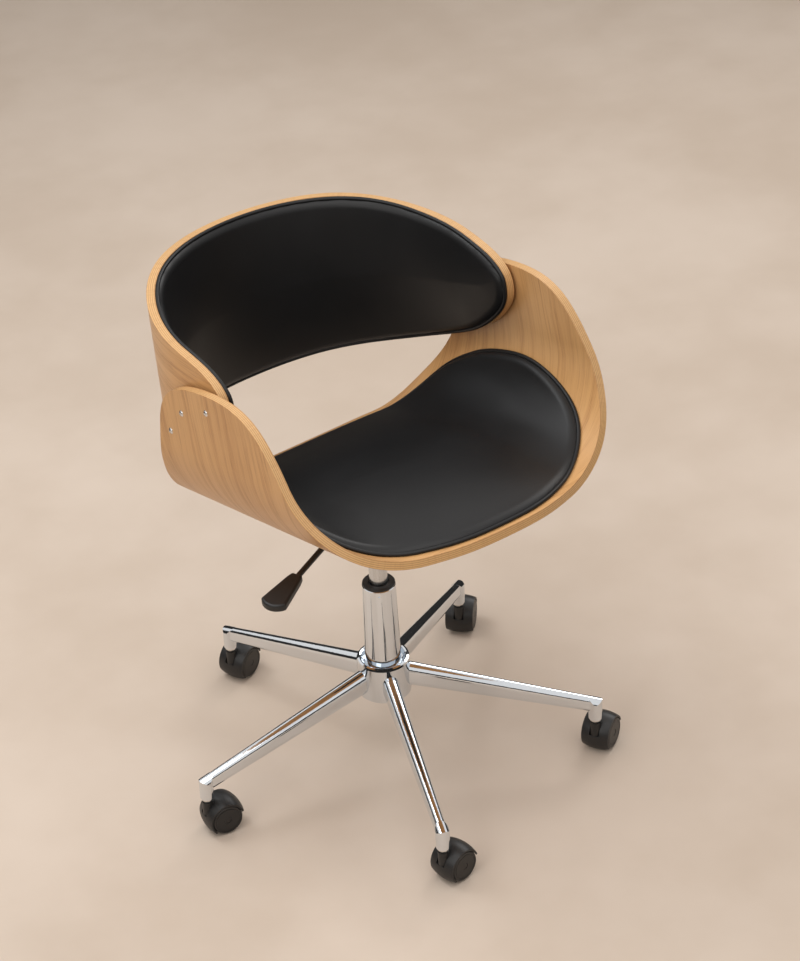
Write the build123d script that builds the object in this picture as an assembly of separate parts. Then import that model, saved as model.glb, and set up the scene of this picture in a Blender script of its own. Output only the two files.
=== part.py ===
"""Swivel desk chair: bent plywood seat and back with black pads, on a gas column and a five-arm base."""
import os
from math import atan2, copysign, cos, degrees, pi, radians, sin, sqrt

from build123d import *

# Shells: each is a flat panel bent one way, so its edge is drawn flat as
# (distance round the bend from the middle, distance along the bend lines).
PLY = 12.0                # thickness of both plywood shells
SEAT_HEIGHT = 490.5       # top face of the seat shell over the column
SEAT_TILT = 11.9          # slope of the seat, front edge up
SEAT_FLAT = 119.5         # half width of the flat bottom
SEAT_RADIUS = 127.5       # inner radius where the bottom turns up into the arms
SEAT_EDGE = [(0, 309), (76, 302), (148, 276), (219, 248), (286, 213), (357, 177), (397, 141), (415, 88),
             (417, 30), (406, -32), (384, -64), (340, -86), (302, -100), (264, -119), (230, -140),
             (190, -158), (128, -167), (0, -168)]
ARM_INNER = SEAT_FLAT + SEAT_RADIUS   # half distance between the arms
BACK_SPACER = 5.0         # washer between each arm and the end of the backrest
BACK_INNER = ARM_INNER - BACK_SPACER - PLY    # inner radius of the half round backrest
BACK_RISE = 109.5         # level that the backrest edge is drawn from, over the seat
BACK_DEPTH = 293.4        # from the column back to the front face of the backrest
BACK_LEAN = 5.6           # backward lean of the backrest
BACK_EDGE = [(0, 155), (181, 152), (305, 132), (385, 116), (432, 98), (452, 73),
             (439, 30), (365, -26), (250, -64), (121, -82), (0, -90)]
TRIM = 20.0               # how much longer a bent blank is than its outline
RIM_STEPS = 30            # points that carry an outline round the bends

# Pads
SEAT_PAD_EDGE = [(0, 301), (76, 292), (154, 254), (222, 207), (260, 153), (284, 82), (284, 15),
                 (267, -52), (226, -110), (145, -135), (0, -141)]
SEAT_PAD_RIM = 15.0       # thickness at the ends of the crown
SEAT_PAD_CROWN = 30.0     # thickness in the middle
BACK_PAD_MARGIN = 3.0     # plywood left showing round the backrest pad
BACK_PAD_RIM = 13.0
BACK_PAD_CROWN = 25.0
PAD_DRAW = 15.0           # how far the sides draw in from the foot of a pad to its top

# Screws through the arms into the ends of the backrest: (distance back from the column, height over the seat)
ARM_SCREWS = [(-2.5, 204.1), (57.5, 175.3), (88, 133.5)]
SCREW_RADIUS = 2.5
SCREW_HEAD = 4.5
SCREW_DOME = 2.2          # height of the head
SCREW_CROSS = (1.0, 5.0, 1.2)     # width, length and depth of the cross in the head
SCREW_GRIP = 9.0          # how deep a screw bites into the backrest
SCREW_PLAY = 0.2
SPACER_RADIUS = 9.0

# Parts under the seat
PLATE = (180.0, 150.0, 3.0)
PLATE_CORNER = 12.0
BOLT_AT = (70.0, 55.0)
BOLT_RADIUS = 3.0
BOLT_HEAD = (5.5, 4.0)    # radius and height
BOLT_HEX = (3.0, 3.0)     # radius and depth of the socket in the head
NUT_FLANGE = 9.0
NUT_RIM = 1.5             # thickness of the flange
NUT_BARREL = 4.5
NUT_DEPTH = 10.0
CHANNEL = (120.0, 86.0)   # length across the chair, width front to back
CHANNEL_DEPTH = 43.5      # from the top of the seat shell down to the floor of the channel
SHEET = 3.0               # sheet steel of the channel
SOCKET_RADIUS = 20.0
EAR = (13.0, 15.0)        # length and height of the ears for the lever pin

# Lever: swings on a pin and presses the release button with its inner end
LEVER_HEADING = 203.9
LEVER_PIVOT = 30.0        # from the column axis to the pin
LEVER_DROP = 3.0          # slope of the rod, outer end down
LEVER_HALF = 4.5          # half width of the eye and the tongue
LEVER_ROD = 4.0
LEVER_PIN = 2.5
PIN_PROUD = 1.2           # how far the pin stands out of each ear
LEVER_EYE = 7.0
LEVER_RISE = 9.0          # pin over the top of the gas cylinder
TONGUE = (4.0, 5.0)       # how far the tongue passes the button, and its thickness
LEVER_REACH = 216.0       # from the pin to the end of the rod
PADDLE = (178.0, 252.0)   # start and end of the paddle along the rod
PADDLE_HALF = (8.0, 11.0, 19.0)
PADDLE_THICK = 12.0
PADDLE_CORNER = 4.0
PADDLE_SOFT = 3.6         # rounding of the paddle's faces
GAP = 0.4                 # free gap beside moving pieces
RUN = 0.05                # radial clearance of running fits

# Column, from the floor up
TUBE_RADIUS = 23.7        # at the top
TUBE_LOW = 25.9           # at the hub
TUBE_WALL = 2.0
TUBE_FOOT = 124.0
TUBE_TOP = 301.0
TUBE_FLOOR = 6.0
TUBE_SOFT = 1.0           # rounding of turned edges
BUSH_FOOT = 233.0
BUSH_LIP = 4.4
BUSH_SOFT = 2.0
BUSH_BACK = 0.5           # how far the lip stands back from the tube
CYL_RADIUS = 13.0
CYL_FOOT = 236.0
CYL_TAPER = 45.0
CYL_TAPER_IN = 1.0
CYL_TOP = SEAT_HEIGHT - CHANNEL_DEPTH
CYL_BORE = 11.0
CYL_FLOOR = 10.0          # thickness of the cylinder end the rod passes through
CYL_HEAD = 41.0           # length of solid metal at the top, over the bore
BUTTON_RADIUS = 3.0
BUTTON_RISE = 6.0
BUTTON_SUNK = 13.0
BUTTON_TRAVEL = 4.0       # free depth under the button
BUTTON_SOFT = 0.6
ROD_RADIUS = 5.0
ROD_FOOT = 117.0
ROD_TOP = 302.0
PISTON = 10.0
THRUST = 5.0              # height of the bearing ring
COLLAR = (10.5, 4.0)      # radius and thickness of the collar on the rod
CLIP = (8.0, 1.5)         # radius and thickness of the clip under the tube
CLIP_GROOVE = 1.0
WINDOW = (3.0, 6.0)       # width and height of the pressed window near the top of the tube
WINDOW_DOWN = 5.5         # from the top of the tube to the middle of the window

# Base
HUB_RADIUS = 38.0
HUB_FOOT = 116.0
HUB_TOP = 176.0
HUB_HOLE = 14.0           # hole under the tube
HUB_DISH = 8.0            # depth of the dish round the tube
HUB_LAND = (6.0, 2.5, 1.0)        # dish round the tube: width at the top, at the bottom, fall of its rim
HUB_SOFT = 4.0            # rounding of the top edge
ARM_CIRCLE = 300.0        # radius of the circle of caster stems
ARM_TURN = 103.6          # heading of the first arm
ARM_ROOT = (39.0, 23.5, 152.0)    # height, width and level of an arm at the hub
ARM_TIP = (23.5, 14.5, 85.0)      # the same at the stem
ARM_LEG = 10.0            # radius of the upright end round the stem
ARM_WALL = 2.0
SOCKET_FOOT = 62.0

# Casters
STEM_RADIUS = 5.5
STEM_TOP = 88.0
NOSE = (8.5, 6.5)         # bright nose under each socket, its radius at the top and at the bottom
NOSE_RIM = 3.0            # straight part at the top of the nose
NOSE_FOOT = 55.0
WHEEL_RADIUS = 25.0
WHEEL_WIDTH = 12.4
WHEEL_TREAD = 3.0         # width of the straight part of the tread, next to the web
WHEEL_FACE = 21.6         # radius of the flat outer face
WHEEL_FULL = 0.6          # how full the shoulder is between tread and face
WEB_HALF = 8.0            # half thickness of the middle of the hood
WEB_FOOT = 12.5           # height of the web's lower edge over the floor
WHEEL_GAP = 0.4
TRAIL = 20.0              # from the stem back to the axle
HOOD_WALL = 2.6
HOOD_GAP = 1.5
AXLE_RADIUS = 3.0
AXLE_HEAD = (4.5, 1.4)    # radius and thickness of the heads of the axle
WHEEL_DISH = 2.2          # dish in the wheel for the head
WHEEL_RING = (18.0, 18.8, 0.6)    # groove round the outer face: radii and depth
HOOD_ARC = (16.0, 222.0)  # where the cover starts behind the wheels and ends in front, up from level
HOOD_NOTCH = (15.0, 15.0) # width and depth of the pointed notch under the stem
HEADINGS = [20, -10, 8, 27, 43]      # way each caster trails

# The seat frame: across the chair, up from the seat, forward along the bend lines
tilt, lean = radians(SEAT_TILT), radians(BACK_LEAN)
SEAT = Plane((0, 0, SEAT_HEIGHT), (1, 0, 0), (0, -cos(tilt), sin(tilt))).location
# The backrest frame: across the chair, forward from its front face, down along the bend lines
BACK = Plane((0, BACK_DEPTH, SEAT_HEIGHT + BACK_RISE), (1, 0, 0), (0, -sin(lean), -cos(lean))).location
SCREW_PLACES = [(y, SEAT_HEIGHT + z) for y, z in ARM_SCREWS]
SCREW_LENGTH = PLY + BACK_SPACER + SCREW_GRIP

# The lever frame: out along the rod, across along the pin, up
LEVER = Rot(0, 0, LEVER_HEADING) * Pos(LEVER_PIVOT, 0, CYL_TOP + LEVER_RISE) * Rot(0, LEVER_DROP, 0)
CLIP_FOOT = TUBE_FOOT - GAP - CLIP[1]

# Bends from the middle out, as (length, radius), straight where the radius is None
# and a little longer than the outline
SEAT_TURN, BACK_TURN = SEAT_RADIUS * pi / 2, BACK_INNER * pi / 2
SEAT_RUNS = [(SEAT_FLAT, None), (SEAT_TURN, SEAT_RADIUS),
             (max(s for s, v in SEAT_EDGE) + TRIM - SEAT_FLAT - SEAT_TURN, None)]
BACK_RUNS = [(BACK_TURN, BACK_INNER), (max(s for s, v in BACK_EDGE) + TRIM - BACK_TURN, None)]


def bent(runs, s, out=0.0):
    """Point of a bent panel: s round its inner face from the middle, out from that face."""
    x, y, a, left = 0.0, 0.0, 0.0, abs(s)
    for length, radius in runs:
        step = min(left, length)
        if radius is None:
            x, y = x + step * cos(a), y + step * sin(a)
        else:
            turn = step / radius
            x, y = x + radius * (sin(a + turn) - sin(a)), y + radius * (cos(a) - cos(a + turn))
            a += turn
        left -= step
    return copysign(x + out * sin(a), s), y - out * cos(a)


def bent_line(runs, out):
    """The right half of a bend, drawn at a distance out from the inner face."""
    edges, start = [], 0.0
    for length, radius in runs:
        ends = [bent(runs, start + length * t, out) for t in (0, 0.5, 1)]
        edges.append(Line(ends[0], ends[2]) if radius is None else ThreePointArc(*ends))
        start += length
    return edges


def bent_panel(runs, low, high):
    """The right half of a bent panel of plywood thickness, long enough to cut to its outline."""
    inner, outer = bent_line(runs, 0), bent_line(runs, PLY)
    close = [Line(inner[0] @ 0, outer[0] @ 0), Line(inner[-1] @ 1, outer[-1] @ 1)]
    return extrude(Pos(0, 0, low) * make_face(inner + outer + close), amount=high - low, dir=(0, 0, 1))


def outline(points):
    """Half of a flat outline as a smooth curve, square to the middle line at both ends."""
    return Spline(*points, tangents=[(1, 0), (-1, 0)])


def rim(runs, curve, low, high, inset=(0.0, 0.0)):
    """The surface that trims the right half of a panel: its outline carried square to it, low to high."""
    sides = []
    for out, draw in ((low, inset[0]), (high, inset[1])):
        points = []
        for i in range(RIM_STEPS + 1):
            at, way = curve @ (i / RIM_STEPS), curve % (i / RIM_STEPS)
            s, v = at.X + draw * way.Y, at.Y - draw * way.X
            points.append((*bent(runs, max(s, 0), out), v))
        sides.append(Spline(*points, tangents=[(1, 0, 0), (-1, 0, 0)]))
    return Shell([Face.make_surface_from_curves(*sides)])


def trimmed(blank, band, out):
    """The part of a half blank within its trimming surface, and its mirror image."""
    pieces = split(blank, bisect_by=band, keep=Keep.ALL)
    half = next(p for p in pieces.solids() if p.is_inside((PLY, out, 0)))
    return half + mirror(half, about=Plane.YZ)


def swept_pad(runs, low, high, edge, crown):
    """The right half of a pad of crowned section carried round the bends of a panel."""
    middle = (low + high) / 2
    lines = [Line((0, low), (0, high)), Line((0, high), (edge, high)),
             ThreePointArc((edge, high), (crown, middle), (edge, low)), Line((edge, low), (0, low))]
    section, half, start = make_face(lines), None, 0.0
    for length, radius in runs:
        x, y = bent(runs, start)
        inner = bent(runs, start, -1)
        face = Plane((x, y, 0), (inner[0] - x, inner[1] - y, 0), (inner[1] - y, x - inner[0], 0)) * section
        if radius is None:
            piece = extrude(face, amount=length)
        else:
            centre = (x + radius * (inner[0] - x), y + radius * (inner[1] - y), 0)
            piece = revolve(face, Axis(centre, (0, 0, 1)), degrees(length / radius))
        half = piece if half is None else half + piece
        start += length
    return half


def turned(*points):
    """A piece turned about the vertical axis from (radius, height) points."""
    return revolve(make_face(Plane.XZ * Polyline(*points, close=True)), Axis.Z)


def post(radius, low, high):
    """An upright round bar between two levels."""
    return Pos(0, 0, low) * Cylinder(radius, high - low, align=(Align.CENTER, Align.CENTER, Align.MIN))


def drilled(solid, radius, places):
    """A solid with round holes, each place being the location of a hole's middle and its length."""
    for at, length in places:
        solid = solid - at * Cylinder(radius, length)
    return solid


def seat_shell():
    """The seat and arms, one bent panel with screw holes in the arms and nut pockets in the bottom."""
    ends = [v for s, v in SEAT_EDGE]
    blank = bent_panel(SEAT_RUNS, min(ends) - TRIM, max(ends) + TRIM)
    band = rim(SEAT_RUNS, outline(SEAT_EDGE), -PLY / 2, PLY * 1.5)
    shell = SEAT * trimmed(blank, band, -PLY / 2)
    across = [(Pos(0, y, z) * Rot(0, 90, 0), 4 * ARM_INNER) for y, z in SCREW_PLACES]
    shell = drilled(shell, SCREW_RADIUS + SCREW_PLAY, across)
    for x, v in bolt_places():
        upright = SEAT * Pos(x, 0, v) * Rot(90, 0, 0)
        shell = shell - upright * Cylinder(NUT_FLANGE, 2 * NUT_RIM)
        shell = shell - upright * Cylinder(NUT_BARREL, 2 * NUT_DEPTH)
        shell = shell - upright * Cylinder(BOLT_RADIUS + SCREW_PLAY, 4 * PLY)
    return shell


def backrest_shell():
    """The backrest, one bent panel with blind screw holes from outside at both ends."""
    edge = [(s, -h) for s, h in reversed(BACK_EDGE)]
    ends = [v for s, v in edge]
    blank = bent_panel(BACK_RUNS, min(ends) - TRIM, max(ends) + TRIM)
    band = rim(BACK_RUNS, outline(edge), -PLY / 2, PLY * 1.5)
    shell = BACK * trimmed(blank, band, -PLY / 2)
    depth = SCREW_LENGTH - PLY
    for side in (-1, 1):
        holes = [(Pos(side * (ARM_INNER - depth / 2), y, z) * Rot(0, 90, 0), depth) for y, z in SCREW_PLACES]
        shell = drilled(shell, SCREW_RADIUS, holes)
    return shell


def seat_pad():
    """The seat pad, crowned front to back, its sides drawn in, following the seat up into the arms."""
    ends = [v for s, v in SEAT_PAD_EDGE]
    blank = swept_pad(SEAT_RUNS[:2], min(ends) - TRIM, max(ends) + TRIM, SEAT_PAD_RIM, SEAT_PAD_CROWN)
    band = rim(SEAT_RUNS, outline(SEAT_PAD_EDGE), SEAT_PAD_RIM / 5, -SEAT_PAD_CROWN * 1.2, (0, PAD_DRAW))
    return SEAT * trimmed(blank, band, SEAT_PAD_RIM / 2)


def backrest_pad():
    """The backrest pad, crowned up and down, a little inside the edge of its shell."""
    edge = [(s, -h) for s, h in reversed(BACK_EDGE)]
    ends = [v for s, v in edge]
    blank = swept_pad(BACK_RUNS, min(ends) - TRIM, max(ends) + TRIM, BACK_PAD_RIM, BACK_PAD_CROWN)
    insets = (BACK_PAD_MARGIN, BACK_PAD_MARGIN + PAD_DRAW)
    band = rim(BACK_RUNS, outline(edge), BACK_PAD_RIM / 5, -BACK_PAD_CROWN * 1.2, insets)
    return BACK * trimmed(blank, band, BACK_PAD_RIM / 2)


def arm_screws():
    """Six dome-headed screws with a cross in the head, three through each arm."""
    half = SCREW_HEAD / 2
    dome = (SCREW_HEAD ** 2 + SCREW_DOME ** 2) / (2 * SCREW_DOME)
    middle = (half, SCREW_DOME - dome + sqrt(dome ** 2 - half ** 2))
    side = Polyline((0, SCREW_DOME), (0, -SCREW_LENGTH), (SCREW_RADIUS, -SCREW_LENGTH),
                    (SCREW_RADIUS, 0), (SCREW_HEAD, 0))
    top = ThreePointArc((SCREW_HEAD, 0), middle, (0, SCREW_DOME))
    screw = revolve(make_face([Plane.XZ * side, Plane.XZ * top]), Axis.Z)
    wide, long, deep = SCREW_CROSS
    for turn in (45, 135):
        screw = screw - Pos(0, 0, SCREW_DOME) * Rot(0, 0, turn) * Box(long, wide, 2 * deep)
    right = [Pos(ARM_INNER + PLY, y, z) * Rot(0, 90, 0) * screw for y, z in SCREW_PLACES]
    return right + [mirror(s, about=Plane.YZ) for s in right]


def arm_spacers(backrest):
    """Six washers between the arms and the backrest, cut to its curve."""
    length = BACK_SPACER + PLY / 2
    ring = Cylinder(SPACER_RADIUS, length) - Cylinder(SCREW_RADIUS + SCREW_PLAY, length)
    right = [Pos(ARM_INNER - length / 2, y, z) * Rot(0, 90, 0) * ring for y, z in SCREW_PLACES]
    right = [(washer - backrest).solids().sort_by(Axis.X)[-1] for washer in right]
    return right + [mirror(washer, about=Plane.YZ) for washer in right]


def bolt_places():
    """Where the four plate bolts stand, across and forward in the seat frame."""
    return [(i * BOLT_AT[0], j * BOLT_AT[1]) for i in (-1, 1) for j in (-1, 1)]


def seat_plate():
    """The steel plate under the seat, with four bolt holes."""
    plate = Pos(0, -PLY - PLATE[2] / 2, 0) * Box(PLATE[0], PLATE[2], PLATE[1])
    plate = fillet(plate.edges().filter_by(Axis.Y), PLATE_CORNER)
    holes = [(Pos(x, -PLY, v) * Rot(90, 0, 0), PLATE[2] * 4) for x, v in bolt_places()]
    return SEAT * drilled(plate, BOLT_RADIUS + SCREW_PLAY, holes)


def plate_bolts():
    """Four bolts from under the plate into the tee nuts."""
    low = -PLY - PLATE[2]
    radius, tall = BOLT_HEAD
    bolt = post(BOLT_RADIUS, low, -NUT_RIM) + post(radius, low - tall, low)
    socket = Pos(0, 0, low - tall) * extrude(RegularPolygon(BOLT_HEX[0], 6), BOLT_HEX[1])
    return [SEAT * Pos(x, 0, v) * Rot(-90, 0, 0) * (bolt - socket) for x, v in bolt_places()]


def tee_nuts():
    """Four flanged nuts let in flush from the top of the seat shell."""
    nut = post(NUT_BARREL, -NUT_DEPTH, 0) + post(NUT_FLANGE, -NUT_RIM, 0) - post(BOLT_RADIUS, -NUT_DEPTH, 0)
    return [SEAT * Pos(x, 0, v) * Rot(-90, 0, 0) * nut for x, v in bolt_places()]


def above_plate():
    """Everything above the underside of the seat plate."""
    wide, tall = 4 * ARM_INNER, SEAT_HEIGHT / 2
    return SEAT * Pos(0, tall / 2 - PLY - PLATE[2], 0) * Box(wide, tall, wide)


def channel():
    """The sheet steel channel under the plate, with two ears that hold the lever pin."""
    length, width = CHANNEL
    level = CYL_TOP
    tall = SEAT_HEIGHT - level
    pan = Pos(0, 0, level - SHEET / 2) * Box(length, width, SHEET)
    walls = [Pos(0, i * (width - SHEET) / 2, level + tall / 2) * Box(length, SHEET, tall) for i in (-1, 1)]
    ear = Pos(LEVER_PIVOT, 0, level + EAR[1] / 2) * Box(EAR[0], SHEET, EAR[1])
    ears = [Rot(0, 0, LEVER_HEADING) * Pos(0, i * (LEVER_HALF + GAP + SHEET / 2), 0) * ear for i in (-1, 1)]
    body = pan + walls + ears - above_plate() - post(SOCKET_RADIUS, level - 2 * SHEET, level + SHEET)
    return body - LEVER * Rot(90, 0, 0) * Cylinder(LEVER_PIN, width / 2)


def taper_socket():
    """The sleeve that grips the tapered top of the gas cylinder."""
    foot = CYL_TOP - CYL_TAPER
    narrow = CYL_RADIUS - CYL_TAPER_IN
    return turned((CYL_RADIUS, foot), (SOCKET_RADIUS, foot), (SOCKET_RADIUS, CYL_TOP), (narrow, CYL_TOP))


def lever_rod():
    """The lever: tongue over the button, eye on the pin, and the long rod."""
    tongue_foot = CYL_TOP + BUTTON_RISE + GAP
    past, thick = TONGUE
    tongue = Pos((LEVER_PIVOT - past) / 2, 0, tongue_foot + thick / 2)
    tongue = tongue * Box(LEVER_PIVOT + past, 2 * LEVER_HALF, thick)
    eye = Rot(90, 0, 0) * Cylinder(LEVER_EYE, 2 * LEVER_HALF)
    rod = Rot(0, 90, 0) * post(LEVER_ROD, 0, LEVER_REACH)
    lever = LEVER * (eye + rod) + Rot(0, 0, LEVER_HEADING) * tongue
    return lever - LEVER * Rot(90, 0, 0) * Cylinder(LEVER_PIN + RUN, 4 * LEVER_HALF)


def lever_paddle():
    """The flat plastic paddle that widens towards its rounded tip."""
    start, end = PADDLE
    root, neck, tip = PADDLE_HALF
    side = [(start, root), (start + neck, neck), (end - neck, tip)]
    points = side + [(x, -y) for x, y in reversed(side)]
    lines = [Line(points[i], points[i + 1]) for i in (0, 1, 3, 4)] + [Line(points[5], points[0])]
    lines.append(ThreePointArc(points[2], (end, 0), points[3]))
    paddle = extrude(make_face(lines), PADDLE_THICK / 2, both=True)
    paddle = fillet(paddle.edges().filter_by(Axis.Z), PADDLE_CORNER)
    faces = paddle.edges().group_by(Axis.Z)
    paddle = fillet(faces[-1] + faces[0], PADDLE_SOFT)
    return LEVER * (paddle - Rot(0, 90, 0) * post(LEVER_ROD, 0, LEVER_REACH))


def lever_pin():
    """The pin through the ears and the eye."""
    return LEVER * Rot(90, 0, 0) * Cylinder(LEVER_PIN, 2 * (LEVER_HALF + GAP + SHEET + PIN_PROUD))


def release_button():
    """The valve pin on top of the gas cylinder."""
    top = CYL_TOP + BUTTON_RISE
    pin = post(BUTTON_RADIUS, CYL_TOP - BUTTON_SUNK, top)
    return chamfer(pin.edges().group_by(Axis.Z)[-1], BUTTON_SOFT)


def gas_cylinder():
    """The chromed cylinder that rises out of the column, tapered at the top, open inside for the piston."""
    foot, bore_top = CYL_FOOT + CYL_FLOOR, CYL_TOP - CYL_HEAD
    narrow = CYL_RADIUS - CYL_TAPER_IN
    hole, sunk = BUTTON_RADIUS + RUN, CYL_TOP - BUTTON_SUNK - BUTTON_TRAVEL
    rod = ROD_RADIUS + RUN
    return turned((rod, CYL_FOOT), (CYL_RADIUS - TUBE_SOFT, CYL_FOOT), (CYL_RADIUS, CYL_FOOT + TUBE_SOFT),
                  (CYL_RADIUS, CYL_TOP - CYL_TAPER), (narrow, CYL_TOP), (hole, CYL_TOP), (hole, sunk),
                  (0, sunk), (0, bore_top), (CYL_BORE, bore_top), (CYL_BORE, foot), (rod, foot))


def piston_rod():
    """The rod the cylinder slides on, with its piston, a collar on the bearing and a groove for the clip."""
    floor = TUBE_FOOT + TUBE_FLOOR + THRUST
    groove, piston = ROD_RADIUS - CLIP_GROOVE, CYL_BORE - RUN
    clip_top, collar_top, under = CLIP_FOOT + CLIP[1], floor + COLLAR[1], ROD_TOP - PISTON
    return turned((0, ROD_FOOT), (ROD_RADIUS, ROD_FOOT), (ROD_RADIUS, CLIP_FOOT), (groove, CLIP_FOOT),
                  (groove, clip_top), (ROD_RADIUS, clip_top), (ROD_RADIUS, floor), (COLLAR[0], floor),
                  (COLLAR[0], collar_top), (ROD_RADIUS, collar_top), (ROD_RADIUS, under),
                  (piston, under), (piston, ROD_TOP), (0, ROD_TOP))


def rod_clip():
    """The spring clip in the groove at the foot of the rod."""
    ring = post(CLIP[0], CLIP_FOOT, CLIP_FOOT + CLIP[1]) - post(ROD_RADIUS - CLIP_GROOVE, 0, TUBE_TOP)
    return ring - Pos(ROD_RADIUS, 0, CLIP_FOOT) * Box(2 * ROD_RADIUS, ROD_RADIUS, 4 * CLIP[1])


def thrust_bearing():
    """The ring that carries the collar of the rod on the floor of the tube."""
    floor = TUBE_FOOT + TUBE_FLOOR
    return post(COLLAR[0] + GAP, floor, floor + THRUST) - post(ROD_RADIUS + GAP, 0, TUBE_TOP)


def column_tube():
    """The outer tube, a little tapered, closed at the foot but for the rod, with a window near the top."""
    inner, hole, floor = TUBE_RADIUS - TUBE_WALL, ROD_RADIUS + RUN, TUBE_FOOT + TUBE_FLOOR
    tube = turned((hole, TUBE_FOOT), (TUBE_LOW, TUBE_FOOT), (TUBE_LOW, HUB_TOP - HUB_DISH),
                  (TUBE_RADIUS, TUBE_TOP - TUBE_SOFT), (TUBE_RADIUS - TUBE_SOFT, TUBE_TOP),
                  (inner, TUBE_TOP), (inner, floor), (hole, floor))
    window = Pos(TUBE_RADIUS, 0, TUBE_TOP - WINDOW_DOWN) * Box(TUBE_WALL, *WINDOW)
    return tube - Rot(0, 0, LEVER_HEADING + 30) * window


def column_bushing():
    """The black guide bush pressed into the top of the tube."""
    inner, outer, lip = CYL_RADIUS + RUN, TUBE_RADIUS - TUBE_WALL, TUBE_TOP + BUSH_LIP
    rim, shoulder = TUBE_RADIUS - BUSH_BACK, lip - BUSH_SOFT
    return turned((inner, BUSH_FOOT), (outer, BUSH_FOOT), (outer, TUBE_TOP), (rim, TUBE_TOP), (rim, shoulder),
                  (rim - BUSH_SOFT, lip), (inner + BUSH_SOFT, lip), (inner, shoulder))


def base_hub():
    """The chromed hub, its top dished round the column tube."""
    bore, foot, dish = TUBE_LOW, HUB_FOOT + HUB_SOFT / 2, HUB_TOP - HUB_DISH
    wide, narrow, fall = HUB_LAND
    bevel = HUB_SOFT * (1 - sqrt(0.5))
    return turned((HUB_HOLE, HUB_FOOT), (HUB_RADIUS - HUB_SOFT / 2, HUB_FOOT), (HUB_RADIUS, foot),
                  (HUB_RADIUS, HUB_TOP - HUB_SOFT), (HUB_RADIUS - bevel, HUB_TOP - bevel),
                  (HUB_RADIUS - HUB_SOFT, HUB_TOP), (bore + wide, HUB_TOP - fall),
                  (bore + narrow, dish + fall), (bore, dish), (bore, TUBE_FOOT), (HUB_HOLE, TUBE_FOOT))


def base_arm():
    """One hollow tapered arm, lying along +X, that turns down into the socket for a stem."""
    def slot(x, size, less):
        at = Plane((x, 0, size[2]), (0, 1, 0), (1, 0, 0))
        return at * SlotOverall(size[0] - 2 * less, size[1] - 2 * less, rotation=90)
    arm = loft([slot(0, ARM_ROOT, 0), slot(ARM_CIRCLE, ARM_TIP, 0)], ruled=True)
    hollow = loft([slot(0, ARM_ROOT, ARM_WALL), slot(ARM_CIRCLE - ARM_LEG, ARM_TIP, ARM_WALL)], ruled=True)
    top, root_top = (size[2] + size[0] / 2 for size in (ARM_TIP, ARM_ROOT))
    slope = atan2(root_top - top, ARM_CIRCLE)
    tall = 2 * (top - SOCKET_FOOT)
    across = Plane((ARM_CIRCLE, 0, top), (0, 1, 0), (cos(slope), 0, -sin(slope)))
    bar = across * Pos(0, -tall / 2) * SlotOverall(tall, 2 * (ARM_LEG + GAP), rotation=90)
    end = Pos(ARM_CIRCLE, 0, 0)
    upright = (end * post(ARM_LEG, SOCKET_FOOT, top + ARM_LEG)) & extrude(bar, 2 * ARM_LEG, both=True)
    arm = arm - hollow + upright - post(HUB_RADIUS, 0, TUBE_TOP)
    return arm - end * post(STEM_RADIUS, 0, STEM_TOP)


def stem():
    """One caster stem with the bright nose that closes the socket."""
    low = WHEEL_RADIUS + STEM_RADIUS + GAP
    return turned((0, low), (STEM_RADIUS, low), (STEM_RADIUS, NOSE_FOOT), (NOSE[1], NOSE_FOOT),
                  (NOSE[0], SOCKET_FOOT - NOSE_RIM), (NOSE[0], SOCKET_FOOT), (STEM_RADIUS, SOCKET_FOOT),
                  (STEM_RADIUS, STEM_TOP), (0, STEM_TOP))


def along_axle(radius, start, end):
    """A round piece on the axle of a caster, between two distances from its middle."""
    return Pos(TRAIL, 0, WHEEL_RADIUS) * Rot(-90, 0, 0) * post(radius, start, end)


def caster_hood():
    """The hood of a caster: web between the wheels, cover over the front and top, boss round the stem."""
    inner, low = WHEEL_RADIUS + HOOD_GAP, WHEEL_FACE + HOOD_GAP
    outer = inner + HOOD_WALL
    half = WEB_HALF + WHEEL_GAP + WHEEL_WIDTH
    back, front = HOOD_ARC
    lines = [ThreePointArc((low, -half), (inner, 0), (low, half)), Line((low, half), (low + HOOD_WALL, half)),
             ThreePointArc((low + HOOD_WALL, half), (outer, 0), (low + HOOD_WALL, -half)),
             Line((low + HOOD_WALL, -half), (low, -half))]
    axle = Axis((TRAIL, 0, WHEEL_RADIUS), (0, -1, 0))
    face = Pos(TRAIL, 0, WHEEL_RADIUS) * Rot(0, -back, 0) * make_face(lines)
    cover = revolve(face, axle, front - back)
    web = along_axle(inner, -WEB_HALF, WEB_HALF) - Pos(TRAIL, 0, 0) * Box(6 * outer, 4 * half, 2 * WEB_FOOT)
    boss = post(WEB_HALF, WHEEL_RADIUS, NOSE_FOOT - GAP)
    wide, deep = HOOD_NOTCH
    tip = Polyline((0, -deep), (wide / 2, 0), (wide / 2, deep), (-wide / 2, deep), (-wide / 2, 0), close=True)
    notch = extrude(Plane((0, 0, NOSE_FOOT - deep / 2), (0, 1, 0), (-1, 0, 0)) * make_face(tip), outer)
    hood = cover + web - notch + boss
    hood = hood - post(STEM_RADIUS + RUN, WHEEL_RADIUS + STEM_RADIUS, STEM_TOP)
    return hood - along_axle(AXLE_RADIUS, -half, half)


def caster_axle():
    """The axle of a caster, with a head at each end that keeps the wheels on."""
    end = WEB_HALF + 2 * WHEEL_GAP + WHEEL_WIDTH - WHEEL_DISH
    radius, thick = AXLE_HEAD
    bar = along_axle(AXLE_RADIUS, -end, end)
    return bar + along_axle(radius, end, end + thick) + along_axle(radius, -end - thick, -end)


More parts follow.
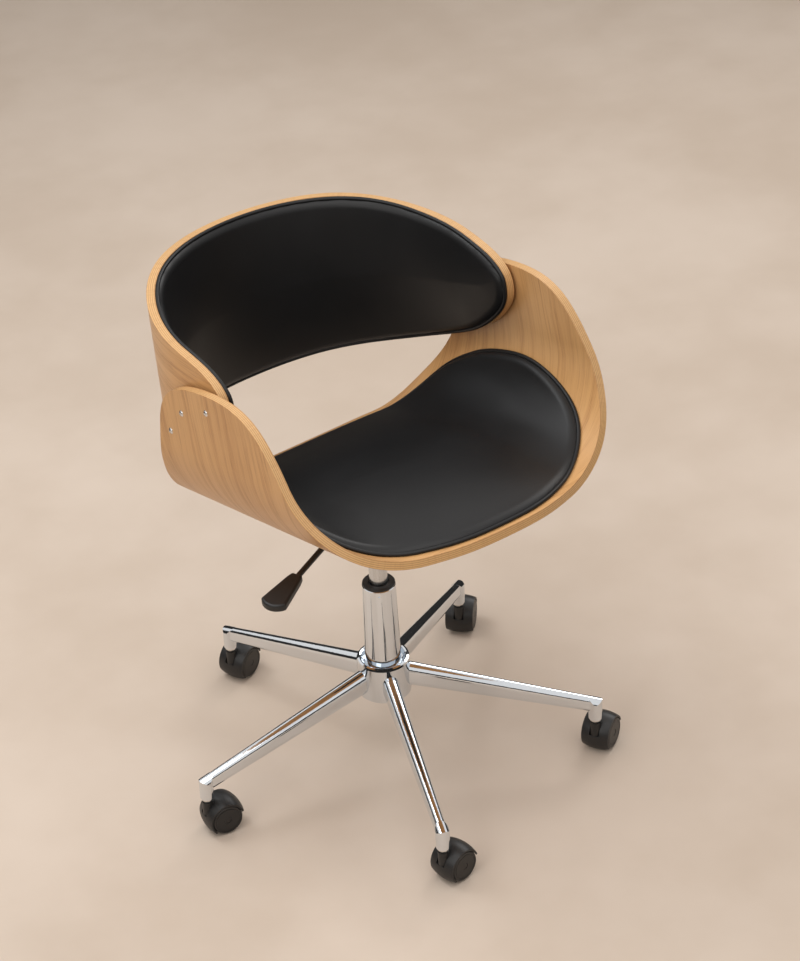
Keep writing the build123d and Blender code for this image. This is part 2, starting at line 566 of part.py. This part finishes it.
def caster_wheel():
    """One wheel: tread rounded off to a flat face with a shallow groove and a dish for the axle's head."""
    near, far = WEB_HALF + WHEEL_GAP, WEB_HALF + WHEEL_GAP + WHEEL_WIDTH
    tread = near + WHEEL_TREAD
    middle = ((WHEEL_RADIUS + WHEEL_FACE) / 2 + WHEEL_FULL, (tread + far) / 2)
    side = Polyline((WHEEL_FACE, far), (0, far), (0, near), (WHEEL_RADIUS, near), (WHEEL_RADIUS, tread))
    shoulder = ThreePointArc((WHEEL_RADIUS, tread), middle, (WHEEL_FACE, far))
    tyre = revolve(make_face([side, shoulder]), Axis.Y)
    tyre = Pos(TRAIL, 0, WHEEL_RADIUS) * tyre
    small, large, deep = WHEEL_RING
    ring = along_axle(large, far - deep, far) - along_axle(small, far - deep, far)
    dish = along_axle(AXLE_HEAD[0] + GAP, far - WHEEL_DISH, far)
    return tyre - ring - dish - along_axle(AXLE_RADIUS + RUN, 0, far)


backrest = backrest_shell()
nodes = {
    "seat_shell": seat_shell(), "backrest_shell": backrest,
    "seat_pad": seat_pad(), "backrest_pad": backrest_pad(),
    "arm_screws": arm_screws(), "arm_spacers": arm_spacers(backrest),
    "seat_plate": seat_plate(), "plate_bolts": plate_bolts(), "tee_nuts": tee_nuts(),
    "channel": channel(), "taper_socket": taper_socket(),
    "lever_rod": lever_rod(), "lever_paddle": lever_paddle(), "lever_pin": lever_pin(),
    "release_button": release_button(), "gas_cylinder": gas_cylinder(),
    "piston_rod": piston_rod(), "rod_clip": rod_clip(), "thrust_bearing": thrust_bearing(),
    "column_tube": column_tube(), "column_bushing": column_bushing(), "base_hub": base_hub(),
}
arm, hood, axle, wheel = base_arm(), caster_hood(), caster_axle(), caster_wheel()
stems = []
for k, heading in enumerate(HEADINGS, 1):
    turn = Rot(0, 0, ARM_TURN + 72 * (k - 1))
    nodes[f"base_arm_{k}"] = turn * arm
    place = Pos(*(turn * Pos(ARM_CIRCLE, 0, 0)).position)
    stems.append(place * stem())
    place = place * Rot(0, 0, heading)
    nodes[f"caster_{k}_hood"] = place * hood
    nodes[f"caster_{k}_axle"] = place * axle
    nodes[f"caster_{k}_wheel_a"] = place * wheel
    nodes[f"caster_{k}_wheel_b"] = place * mirror(wheel, about=Plane.XZ)
nodes["caster_stems"] = stems

os.makedirs("parts", exist_ok=True)
for name, piece in nodes.items():
    solids = [s for p in piece for s in p.solids()] if isinstance(piece, list) else piece.solids()
    export_step(Compound(solids) if len(solids) > 1 else solids[0], f"parts/{name}.step")
    print(name, len(solids), round(sum(s.volume for s in solids)))
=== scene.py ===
from math import cos, pi, radians, sin

import bmesh
import bpy
import numpy as np
from mathutils import Matrix, Vector


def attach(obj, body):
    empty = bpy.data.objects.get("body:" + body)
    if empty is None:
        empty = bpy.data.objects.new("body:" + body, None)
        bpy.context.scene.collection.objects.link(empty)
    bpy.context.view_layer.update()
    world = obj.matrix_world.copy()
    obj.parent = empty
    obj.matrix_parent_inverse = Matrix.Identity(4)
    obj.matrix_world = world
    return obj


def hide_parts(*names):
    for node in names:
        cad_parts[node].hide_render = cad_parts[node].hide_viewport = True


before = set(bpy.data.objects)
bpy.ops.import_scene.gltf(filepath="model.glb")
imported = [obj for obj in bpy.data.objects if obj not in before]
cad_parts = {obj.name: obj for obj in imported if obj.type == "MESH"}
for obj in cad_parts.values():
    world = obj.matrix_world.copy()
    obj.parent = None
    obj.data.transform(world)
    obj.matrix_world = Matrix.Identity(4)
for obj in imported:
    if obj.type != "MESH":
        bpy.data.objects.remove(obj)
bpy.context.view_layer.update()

# Hub and arms: a turned steel cup with five oval tubes, drawn to a taper, welded on all round,
# ground smooth and plated with bright chrome. Each tube is mitred and turned down at its end.


class Tone:
    """A socket of a finish that can be reckoned with like a number."""

    def __init__(self, tree, socket=None):
        self.tree, self.socket = tree, socket

    def node(self, kind, sockets, out=0, **settings):
        """Adds a node of a kind: its settings first, then the values or links of its sockets."""
        made = self.tree.nodes.new("ShaderNode" + kind)
        for name, value in settings.items():
            setattr(made, name, value)
        for name, value in sockets.items():
            if isinstance(value, Tone):
                self.tree.links.new(value.socket, made.inputs[name])
            else:
                made.inputs[name].default_value = value
        return Tone(self.tree, made.outputs[out] if made.outputs else None)

    def reckon(self, operation, *values):
        return self.node("Math", dict(enumerate(values)), operation=operation)

    def __add__(self, other):
        return self.reckon("ADD", self, other)

    def __sub__(self, other):
        return self.reckon("SUBTRACT", self, other)

    def __rsub__(self, other):
        return self.reckon("SUBTRACT", other, self)

    def __mul__(self, other):
        return self.reckon("MULTIPLY", self, other)

    def rise(self, low, high):
        """0 below low, 1 above high, smooth between them."""
        ends = {"Value": self, "From Min": low, "From Max": high}
        return self.node("MapRange", ends, interpolation_type="SMOOTHSTEP")

    def blend(self, first, second):
        """One colour where this is 0, the other where it is 1."""
        colours = [c if isinstance(c, Tone) else (*c, 1) for c in (first, second)]
        return self.node("Mix", {0: self, 6: colours[0], 7: colours[1]}, out=2, data_type="RGBA")

    def grain(self, scale, detail=2.0, roughness=0.5):
        """Cloudy noise over these points, so many patches to the metre."""
        return self.node("TexNoise", {"Vector": self, "Scale": scale, "Detail": detail,
                                      "Roughness": roughness})

    def stretched(self, x, y, z):
        """These points with each direction drawn out by its own factor."""
        return self.node("VectorMath", {0: self, 1: (x, y, z)}, operation="MULTIPLY")

    def bumps(self, distance, strength=1.0, **more):
        """These heights as a relief, so deep in metres."""
        return self.node("Bump", {"Height": self, "Distance": distance, "Strength": strength, **more})


def new_finish(name):
    """A material with nothing in it yet, and the points of the piece it covers, in metres."""
    material = bpy.data.materials.new(name)
    material.use_nodes = True
    material.node_tree.nodes.clear()
    return material, Tone(material.node_tree).node("TexCoord", {}, out=3)


def close_finish(at, sockets):
    """The surface of a material, from what its points have given."""
    surface = at.node("BsdfPrincipled", sockets)
    at.node("OutputMaterial", {"Surface": surface})


def dress(material, *nodes):
    """Gives a finish to pieces that keep their shape."""
    for name in nodes:
        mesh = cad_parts[name].data
        mesh.materials.clear()
        mesh.materials.append(material)


CHROME_COLOURS = [(0.70, 0.745, 0.795), (0.80, 0.84, 0.89)]
CASTERS = range(1, 6)

chrome, at = new_finish("bright_chrome")
smear, ripple = at.grain(11.0, 3.0), at.grain(60.0, 1.0)
close_finish(at, {"Base Color": smear.blend(*CHROME_COLOURS), "Metallic": 1.0,
                  "Roughness": smear * 0.07 + 0.045, "Normal": ripple.bumps(0.0002, 0.25)})
dress(chrome, "base_hub", *[f"base_arm_{k}" for k in CASTERS])

# Stems, screws and other small hardware: turned or headed from steel wire and plated with bright zinc,
# so they are a shade duller than the chrome and show fine marks of the tool.
ZINC_COLOURS = [(0.66, 0.655, 0.64), (0.84, 0.83, 0.81)]

zinc, at = new_finish("bright_zinc")
turned = at.stretched(1, 1, 12).grain(220.0, 2.0)
close_finish(at, {"Base Color": turned.blend(*ZINC_COLOURS), "Metallic": 1.0,
                  "Roughness": turned * 0.16 + 0.14, "Normal": turned.bumps(0.00005, 0.4)})
dress(zinc, "caster_stems", "arm_screws", "plate_bolts", "tee_nuts", "lever_pin", "release_button",
      "piston_rod", "rod_clip", "thrust_bearing")

# Casters: hood and two wheels moulded in black nylon, the hood with the fine grain of a spark-eroded mould,
# the wheels smoother, a little grey with dust where they roll.
NYLON_COLOURS = [(0.0085, 0.0085, 0.009), (0.016, 0.0155, 0.0155)]
DUST_COLOUR = (0.05, 0.046, 0.042)
TREAD_TOP = 0.006         # dust reaches this far up from the floor

nylon, at = new_finish("black_nylon")
cloud, skin = at.grain(38.0, 3.0), at.grain(1500.0, 2.0)
close_finish(at, {"Base Color": cloud.blend(*NYLON_COLOURS), "Roughness": cloud * 0.14 + 0.36,
                  "Normal": skin.bumps(0.00012, 0.35)})
dress(nylon, *[f"caster_{k}_hood" for k in CASTERS])

tyre, at = new_finish("black_tyre")
cloud = at.grain(55.0, 3.0)
height = at.node("SeparateXYZ", {"Vector": at}, out=2)
dust = (1 - height.rise(0.0, TREAD_TOP)) * cloud.rise(0.35, 0.7)
close_finish(at, {"Base Color": dust.blend(cloud.blend(*NYLON_COLOURS), DUST_COLOUR),
                  "Roughness": cloud * 0.1 + 0.33, "Normal": at.grain(900.0).bumps(0.00008, 0.25)})
dress(tyre, *[f"caster_{k}_{part}" for k in CASTERS for part in ("wheel_a", "wheel_b", "axle")])

# Column: a drawn steel tube plated with chrome, a black guide bush pressed into its top,
# and the ground and chromed cylinder of the gas spring that slides in it.
FLOAT_COLOURS = [(0.56, 0.57, 0.58), (0.72, 0.73, 0.74)]

dress(chrome, "column_tube")
dress(nylon, "column_bushing", "arm_spacers")

ground, at = new_finish("ground_chrome")
lines = at.stretched(1, 1, 0.02).grain(900.0, 2.0)
close_finish(at, {"Base Color": lines.blend(*FLOAT_COLOURS), "Metallic": 1.0,
                  "Roughness": lines * 0.12 + 0.16})
dress(ground, "gas_cylinder")

# Parts under the seat: plate, channel, sleeve and lever rod of bent and welded steel,
# stoved with black paint that lies in a faint orange peel. The lever's paddle is moulded in nylon.
PAINT_COLOURS = [(0.010, 0.010, 0.0105), (0.020, 0.020, 0.0205)]

paint, at = new_finish("black_paint")
peel, worn = at.grain(420.0, 1.0), at.grain(24.0, 4.0)
close_finish(at, {"Base Color": worn.blend(*PAINT_COLOURS), "Roughness": worn * 0.15 + 0.28,
                  "Normal": peel.bumps(0.0003, 0.3)})
dress(paint, "seat_plate", "channel", "taper_socket", "lever_rod")
dress(nylon, "lever_paddle")

# Seat shell: oak veneer over beech plies, hot pressed to shape as one panel, its edge sanded and the
# whole lacquered satin. The grain runs across the seat and up into the arms, and the plies show as
# lines along the edge.
PLY = 0.012
VENEER = 0.0009
SEAT_HEIGHT, SEAT_TILT = 0.4905, radians(11.9)
SEAT_FLAT, SEAT_RADIUS = 0.1195, 0.1275
OAK_PALE, OAK_MID, OAK_DARK = (0.63, 0.352, 0.144), (0.52, 0.265, 0.099), (0.32, 0.145, 0.049)
PLY_PALE, PLY_DARK = (0.66, 0.40, 0.175), (0.40, 0.205, 0.080)
LAYERS = 9
EDGE_EASE = 0.0012        # how far the sanded edges are rounded


def unrolled(at, start, tilt, flat, radius):
    """Where a point of a bent panel lay before bending: round the bend, along its lines, and into it.

    The panel's own frame starts in the middle of its inner face and is tipped about the cross line."""
    x, y, z = (at.node("SeparateXYZ", {"Vector": at}, out=k) for k in range(3))
    y, z = y - start[1], z - start[2]
    up, along = y * sin(tilt) + z * cos(tilt), y * -cos(tilt) + z * sin(tilt)
    wide = x.reckon("ABSOLUTE", x)
    past, left = (wide - flat).reckon("MAXIMUM", wide - flat, 0.0), up.reckon("MAXIMUM", radius - up, 0.0)
    turn = past.reckon("ARCTAN2", past, left)
    around = wide.reckon("MINIMUM", wide, flat) + turn * radius + up.reckon("MAXIMUM", up - radius, 0.0)
    depth = past.reckon("SQRT", past * past + left * left) - radius
    return around * x.reckon("SIGN", x), along, depth


def oak_finish(around, along, depth, seed):
    """Lacquered oak veneer with the grain round the bend, and the layers of the plies along the edge."""
    def cloud(x, y, detail=2.0, roughness=0.5):
        points = around.node("CombineXYZ", {"X": around * x, "Y": line * y, "Z": seed})
        return points.grain(1.0, detail, roughness)
    line = along
    line = along + (cloud(2.6, 5.0) - 0.5) * 0.060 + (cloud(9.0, 22.0) - 0.5) * 0.006
    board, figure = cloud(1.1, 13.0, 1.0), cloud(2.0, 105.0, 4.0, 0.62)
    fibre, pores = cloud(16.0, 800.0, 2.0), cloud(38.0, 1150.0, 1.0)
    late = figure.rise(0.42, 0.72)
    face = late.blend(OAK_PALE, OAK_MID)
    face = (board.rise(0.35, 0.75) * 0.45).blend(face, OAK_MID)
    face = (fibre.rise(0.45, 0.8) * (late * 0.65 + 0.25)).blend(face, OAK_DARK)
    face = (pores.rise(0.58, 0.70) * (late * 0.70 + 0.15)).blend(face, OAK_DARK)
    layer = (depth * (LAYERS / PLY)).reckon("PINGPONG", depth * (LAYERS / PLY), 1.0)
    end_grain = cloud(320.0, 500.0, 2.0)
    ply = (layer.rise(0.50, 0.72) * 0.75).blend(PLY_PALE, PLY_DARK)
    ply = (end_grain.rise(0.45, 0.75) * 0.30).blend(ply, PLY_DARK)
    cut = depth.rise(VENEER * 0.8, VENEER * 1.1) * (1 - depth.rise(PLY - VENEER * 1.1, PLY - VENEER * 0.8))
    sheen = fibre * 0.10 + late * 0.05 + 0.30
    eased = depth.node("Bevel", {"Radius": EDGE_EASE}, samples=4)
    relief = (fibre * 0.4 + pores * 0.6).bumps(0.00008, 0.35, Normal=eased)
    close_finish(depth, {"Base Color": cut.blend(face, ply), "Roughness": sheen + cut * 0.08,
                         "Normal": relief})


oak_seat, at = new_finish("oak_seat")
oak_finish(*unrolled(at, (0, 0, SEAT_HEIGHT), SEAT_TILT, SEAT_FLAT, SEAT_RADIUS), 3.1)
dress(oak_seat, "seat_shell")

# Seat pad: a thin board with foam on it, under black leather drawn tight and stapled beneath,
# with a corded piping sewn in round the edge. It follows the seat up into the arms.
SEAT_PAD_EDGE = [(0, 301), (76, 292), (154, 254), (222, 207), (260, 153), (284, 82), (284, 15),
                 (267, -52), (226, -114), (145, -147), (0, -155)]
SEAT_SIDE, SEAT_CROWN = (0.0085, 0.011), (0.0165, 0.085)    # height and reach of the side, and of the crown
PIPING = 0.0028
LEATHER_COLOURS = [(0.0055, 0.0055, 0.0060), (0.0090, 0.0090, 0.0097)]
PAD_GRID = (150, 84)      # meshes round the bend and across it
SWELL = 0.006             # the most that the filling moves the cover
PUFF_FRAMES = 20
AIR, STRETCH_STIFF, BEND_STIFF = 3.0, 40, 20.0      # pressure under the cover, and how stiff it is
HELD_SHARE = 0.8          # the cover is held up to this share of the side's height
SEAM = 1.5 * PIPING       # from the outline in to the cover's seam, behind the piping
FOOT = 0.0005             # the pad's underside over the wood
WELD = 0.00005            # points nearer than this are one
DRAWN_TIGHT = 25          # passes that draw the creases out of the cover

leather, at = new_finish("black_leather")
tone, crease = at.grain(14.0, 3.0), at.grain(160.0, 3.0)
pebble = at.node("TexVoronoi", {"Vector": at, "Scale": 950.0, "Randomness": 1.0}, feature="SMOOTH_F1")
close_finish(at, {"Base Color": tone.blend(*LEATHER_COLOURS),
                  "Roughness": tone * 0.10 + pebble * 0.06 + 0.37,
                  "Specular IOR Level": 0.36,
                  "Normal": (pebble * 0.7 + crease * 0.3).bumps(0.00014, 0.35)})


def edge_loop(half, inset=0.0, count=720):
    """A closed smooth outline in metres from its right half in millimetres, evenly spaced."""
    right = np.array(half, float) / 1000
    loop = np.concatenate([right, right[-2:0:-1] * (-1, 1)])
    before, after, last = np.roll(loop, 1, 0), np.roll(loop, -1, 0), np.roll(loop, -2, 0)
    t = np.linspace(0, 1, 40, endpoint=False)[:, None, None]
    spans = 0.5 * (2 * loop + (after - before) * t + (2 * before - 5 * loop + 4 * after - last) * t ** 2
                   + (3 * loop - before - 3 * after + last) * t ** 3)
    fine = spans.transpose(1, 0, 2).reshape(-1, 2)
    run = np.concatenate([[0], np.cumsum(np.linalg.norm(np.roll(fine, -1, 0) - fine, axis=1))])
    closed = np.concatenate([fine, fine[:1]])
    even = np.linspace(0, run[-1], count, endpoint=False)
    fine = np.stack([np.interp(even, run, closed[:, k]) for k in (0, 1)], axis=1)
    way = np.roll(fine, -1, 0) - np.roll(fine, 1, 0)
    way /= np.linalg.norm(way, axis=1)[:, None]
    return fine + inset * way @ np.array([[0, -1], [1, 0]])


def bend_up(flat_points, heights, start, tilt, flat, radius):
    """Lays flat points, so high over a panel's inner face, on the bent panel: the other way from unrolled."""
    s, v = np.abs(flat_points[:, 0]), flat_points[:, 1]
    turn = np.clip((s - flat) / radius, 0, pi / 2)
    reach = radius - heights
    x = np.minimum(s, flat) + reach * np.sin(turn)
    up = radius - reach * np.cos(turn) + np.maximum(s - flat - radius * pi / 2, 0)
    x = np.copysign(x, flat_points[:, 0])
    y, z = up * sin(tilt) - v * cos(tilt), up * cos(tilt) + v * sin(tilt)
    return np.stack([x, start[1] + y, start[2] + z], axis=1)


def mesh_piece(name, points, faces, material):
    """A smooth piece from points and faces."""
    mesh = bpy.data.meshes.new(name)
    mesh.from_pydata([tuple(p) for p in points], [], faces)
    mesh.polygons.foreach_set("use_smooth", [True] * len(mesh.polygons))
    mesh.materials.append(material)
    piece = bpy.data.objects.new(name, mesh)
    bpy.context.scene.collection.objects.link(piece)
    return piece


def puffed(piece, held):
    """Fills the cover with air under a cloth simulation, held where it is stapled, and keeps the result."""
    points = np.array([v.co for v in piece.data.vertices])
    group = piece.vertex_groups.new(name="held")
    group.add([int(i) for i in np.flatnonzero(held)], 1.0, "REPLACE")
    cloth = piece.modifiers.new("cover", "CLOTH")
    cloth.settings.vertex_group_mass = "held"
    cloth.settings.effector_weights.gravity = 0
    cloth.settings.use_pressure = True
    cloth.settings.uniform_pressure_force = AIR
    cloth.settings.tension_stiffness = cloth.settings.compression_stiffness = STRETCH_STIFF
    cloth.settings.bending_stiffness = BEND_STIFF
    cloth.collision_settings.use_collision = False
    for frame_number in range(1, PUFF_FRAMES + 1):
        bpy.context.scene.frame_set(frame_number)
    ready = piece.evaluated_get(bpy.context.evaluated_depsgraph_get())
    moved = np.array([v.co for v in ready.data.vertices]) - points
    pairs = np.array([e.vertices for e in piece.data.edges])
    pairs = np.concatenate([pairs, pairs[:, ::-1]])
    met = np.bincount(pairs[:, 0], minlength=len(points))[:, None]
    for _ in range(DRAWN_TIGHT):
        pull = [np.bincount(pairs[:, 0], moved[pairs[:, 1], k], len(points)) for k in range(3)]
        moved = np.where(held[:, None], moved, np.stack(pull, axis=1) / met)
    far = np.linalg.norm(moved, axis=1)[:, None]
    moved *= SWELL * np.tanh(far / SWELL) / np.maximum(far, 1e-9)
    piece.modifiers.remove(cloth)
    bpy.context.scene.frame_set(1)
    piece.data.vertices.foreach_set("co", (points + moved).ravel())
    piece.data.update()


def cushion(name, edge, side, crown, panel):
    """A closed pad on a bent panel: a flat grid inside its outline, raised by how far it is from the edge."""
    columns, rows = PAD_GRID
    tip = edge[:, 0].argmax()
    loop = np.roll(edge, -tip, axis=0)
    back = loop[:, 0].argmin()
    branches = [loop[:back + 1][::-1], np.concatenate([loop[back:], loop[:1]])]
    s = np.sin(np.linspace(-pi / 2, pi / 2, columns + 1)) * edge[tip, 0]
    lines = [np.interp(s, b[:, 0], b[:, 1]) for b in branches]
    low, high = (np.minimum(*lines), np.maximum(*lines))
    share = (np.sin(np.linspace(-pi / 2, pi / 2, rows + 1)) + 1) / 2
    v = low[:, None] + (high - low)[:, None] * share
    flat_points = np.stack([np.repeat(s, rows + 1), v.ravel()], axis=1)
    far = np.min([np.hypot(*(flat_points - p).T) for p in edge], axis=0)
    inside = np.ones((columns + 1, rows + 1), bool)
    inside[[0, -1]] = inside[:, [0, -1]] = False
    far *= inside.ravel()
    rounded = np.sqrt(1 - (1 - np.clip(far / side[1], 0, 1)) ** 2)
    heights = PIPING * 0.7 + side[0] * rounded + crown[0] * (1 - np.exp(-far / crown[1]))
    top = bend_up(flat_points, heights, *panel)
    under = bend_up(flat_points, np.full(len(heights), FOOT), *panel)
    number = np.arange(len(top)).reshape(columns + 1, rows + 1)
    cells = np.stack([number[:-1, :-1], number[1:, :-1], number[1:, 1:], number[:-1, 1:]], axis=-1)
    cells = cells.reshape(-1, 4)
    rim = np.concatenate([number[:, 0], number[-1, 1:], number[-2::-1, -1], number[0, -2:0:-1]])
    skirt = np.stack([rim, np.roll(rim, -1), np.roll(rim, -1) + len(top), rim + len(top)], axis=1)
    faces = np.concatenate([cells[:, ::-1], cells + len(top), skirt])
    piece = mesh_piece(name, np.concatenate([top, under]), faces.tolist(), leather)
    clean_up(piece)
    return piece


def clean_up(piece):
    """Merges points that lie together and turns the faces outward."""
    body = bmesh.new()
    body.from_mesh(piece.data)
    bmesh.ops.remove_doubles(body, verts=body.verts, dist=WELD)
    bmesh.ops.dissolve_degenerate(body, edges=body.edges, dist=WELD * 0.4)
    bmesh.ops.recalc_face_normals(body, faces=body.faces)
    body.to_mesh(piece.data)
    body.free()
    piece.data.polygons.foreach_set("use_smooth", [True] * len(piece.data.polygons))


def piping(name, edge, panel, radius, sides=10):
    """A cord of leather round the foot of a pad."""
    ring = bend_up(edge, np.full(len(edge), radius), *panel)
    inner = bend_up(edge, np.full(len(edge), radius + 0.01), *panel) - ring
    normal = inner / np.linalg.norm(inner, axis=1)[:, None]
    way = np.roll(ring, -1, 0) - np.roll(ring, 1, 0)
    across = np.cross(way / np.linalg.norm(way, axis=1)[:, None], normal)
    turns = np.linspace(0, 2 * pi, sides, endpoint=False)
    points = [ring + radius * (np.cos(a) * normal + np.sin(a) * across) for a in turns]
    number = np.arange(sides * len(edge)).reshape(sides, len(edge))
    faces = np.stack([number, np.roll(number, -1, 1), np.roll(np.roll(number, -1, 1), -1, 0),
                      np.roll(number, -1, 0)], axis=-1).reshape(-1, 4)
    piece = mesh_piece(name, np.concatenate(points), faces.tolist(), leather)
    clean_up(piece)
    return piece


def bend_foot(points, panel):
    """How high points stand over a panel's inner face."""
    start, tilt, flat, radius = panel
    y, z = points[:, 1] - start[1], points[:, 2] - start[2]
    up = y * sin(tilt) + z * cos(tilt)
    past, left = np.maximum(np.abs(points[:, 0]) - flat, 0), np.maximum(radius - up, 0)
    return radius - np.hypot(past, left)


def upholster(name, node, edge, side, crown, panel, margin=0.0):
    """The pad and its piping on a panel, for the plain block of the same place."""
    pad = cushion(name, edge_loop(edge, margin + SEAM), side, crown, panel)
    points = np.array([v.co for v in pad.data.vertices])
    puffed(pad, bend_foot(points, panel) < side[0] * HELD_SHARE)
    smooth = pad.modifiers.new("smooth", "SUBSURF")
    smooth.levels = smooth.render_levels = 1
    cord = piping(f"{name}_piping", edge_loop(edge, margin + PIPING), panel, PIPING)
    for piece in (pad, cord):
        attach(piece, "seat")
    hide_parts(node)


seat_panel = (0, 0, SEAT_HEIGHT), SEAT_TILT, SEAT_FLAT, SEAT_RADIUS
upholster("seat_cushion", "seat_pad", SEAT_PAD_EDGE, SEAT_SIDE, SEAT_CROWN, seat_panel)

# Backrest shell: pressed and lacquered like the seat, a half round panel with straight ends
# that are screwed to the insides of the arms over thin spacers.
ARM_INNER, SPACER = SEAT_FLAT + SEAT_RADIUS, 0.005
BACK_RADIUS = ARM_INNER - SPACER - PLY
BACK_DEPTH, BACK_RISE, BACK_LEAN = 0.2934, 0.1095, radians(5.6)
BACK_TILT = BACK_LEAN - pi / 2      # its bend lines stand up where the seat's lie level

back_panel = (0, BACK_DEPTH, SEAT_HEIGHT + BACK_RISE), BACK_TILT, 0.0, BACK_RADIUS
oak_back, at = new_finish("oak_backrest")
oak_finish(*unrolled(at, *back_panel), 8.4)
dress(oak_back, "backrest_shell")

# Backrest pad: made like the seat pad, and covering the whole inside of the backrest,
# so that its piping stands a little over the edge of the wood.
BACK_EDGE = [(0, 155), (181, 152), (305, 132), (385, 116), (432, 98), (452, 73),
             (439, 30), (365, -26), (250, -64), (121, -82), (0, -90)]
BACK_MARGIN = -0.0012     # from the edge of the wood in to the piping
BACK_SIDE, BACK_CROWN = (0.0070, 0.010), (0.0135, 0.070)

back_edge = [(s, -height) for s, height in reversed(BACK_EDGE)]
upholster("backrest_cushion", "backrest_pad", back_edge, BACK_SIDE, BACK_CROWN, back_panel, BACK_MARGIN)

# Studio: a pale plastered floor that runs out of sight under an even sky, which gives most of the
# light and keeps the shadows soft.
FLOOR_COLOURS = [(0.58, 0.475, 0.385), (0.66, 0.555, 0.465)]
FLOOR_SIZE = 30.0
SKY_COLOUR, SKY_STRENGTH = (1.0, 0.97, 0.94, 1), 0.85

plaster, at = new_finish("floor_plaster")
wash = (at.grain(1.7, 4.0) * 0.75 + at.grain(9.0, 3.0) * 0.25).rise(0.32, 0.68)
close_finish(at, {"Base Color": wash.blend(*FLOOR_COLOURS), "Roughness": 0.75, "Specular IOR Level": 0.2})
corners = [(x * FLOOR_SIZE, y * FLOOR_SIZE, 0) for x, y in ((-1, -1), (1, -1), (1, 1), (-1, 1))]
floor = mesh_piece("floor", corners, [(0, 1, 2, 3)], plaster)

world = bpy.data.worlds.new("studio")
world.use_nodes = True
sky = world.node_tree.nodes["Background"].inputs
sky["Color"].default_value, sky["Strength"].default_value = SKY_COLOUR, SKY_STRENGTH
bpy.context.scene.world = world

# Dark cloth hung round the studio, out of the picture: it draws the dark lines in the chrome
# and holds the light off the far floor.
CLOTH_MIDDLE, CLOTH_RADIUS, CLOTH_TOP, CLOTH_SIDES = (-0.95, -1.3), 4.55, 1.8, 48
CLOTH_COLOURS = [(0.010, 0.010, 0.011), (0.030, 0.029, 0.028)]

drape, at = new_finish("dark_cloth")
close_finish(at, {"Base Color": at.stretched(1, 1, 0.05).grain(6.0).blend(*CLOTH_COLOURS), "Roughness": 0.9})
turns = [2 * pi * k / CLOTH_SIDES for k in range(CLOTH_SIDES)]
hung = [(CLOTH_MIDDLE[0] + CLOTH_RADIUS * cos(a), CLOTH_MIDDLE[1] + CLOTH_RADIUS * sin(a), z)
        for z in (0, CLOTH_TOP) for a in turns]
folds = [(k, (k + 1) % CLOTH_SIDES) for k in range(CLOTH_SIDES)]
drapes = mesh_piece("drapes", hung, [(a, b, b + CLOTH_SIDES, a + CLOTH_SIDES) for a, b in folds], drape)
drapes.visible_camera = False

# Lamps and camera: four lamps with cloth fronts, one of them cool and behind for the sheen on the leather,
# and a long lens above the chair's front corner.


def softbox(name, place, aim, size, watts, colour):
    """A square lamp with a cloth front, turned to a point."""
    lamp = bpy.data.lights.new(name, "AREA")
    lamp.shape, lamp.size, lamp.energy, lamp.color = "SQUARE", size, watts, colour
    box = bpy.data.objects.new(name, lamp)
    box.location = place
    box.rotation_euler = (Vector(aim) - Vector(place)).to_track_quat("-Z", "Y").to_euler()
    bpy.context.scene.collection.objects.link(box)


softbox("overhead", (-0.6, -0.5, 3.1), (0, -0.1, 0.3), 2.4, 25, (1.0, 0.985, 0.965))
softbox("left", (-2.8, -1.0, 2.2), (0, 0, 0.4), 1.8, 15, (1.0, 0.98, 0.955))
softbox("right", (2.7, 1.2, 2.2), (0, 0, 0.5), 1.4, 27, (1.0, 0.985, 0.97))
softbox("behind", (-0.9, 1.5, 2.9), (0.1, 0, 0.5), 1.1, 22, (0.93, 0.965, 1.0))

VIEW_TURN, VIEW_HEIGHT, VIEW_ROLL = radians(-35.77), radians(33.75), radians(-3.14)
VIEW_FROM, VIEW_SIDE, VIEW_UP = 4.732, 0.0434, 0.3091
VIEW_SHIFT = -0.0042, -0.0005
CLEAR_TO = 200            # how far the camera sees
AIM = Vector((0, 0, 0.1))
LENS_PIXELS, LONG_SIDE, SENSOR = 3300, 961, 36.0

back = Vector((sin(VIEW_TURN) * cos(VIEW_HEIGHT), -cos(VIEW_TURN) * cos(VIEW_HEIGHT), sin(VIEW_HEIGHT)))
right = Vector((cos(VIEW_TURN), sin(VIEW_TURN), 0))
up = back.cross(right)
lens = bpy.data.cameras.new("camera")
lens.sensor_width, lens.lens = SENSOR, SENSOR * LENS_PIXELS / LONG_SIDE
lens.shift_x, lens.shift_y = VIEW_SHIFT
lens.clip_end = CLEAR_TO
camera = bpy.data.objects.new("camera", lens)
turned_right = right * cos(VIEW_ROLL) + up * sin(VIEW_ROLL)
turned_up = up * cos(VIEW_ROLL) - right * sin(VIEW_ROLL)
axes = Matrix((turned_right, turned_up, back)).transposed()
stand = AIM + right * VIEW_SIDE + up * VIEW_UP + back * VIEW_FROM
camera.matrix_world = Matrix.Translation(stand) @ axes.to_4x4()
bpy.context.scene.collection.objects.link(camera)
bpy.context.scene.camera = camera
bpy.context.scene.view_settings.view_transform = "Standard"
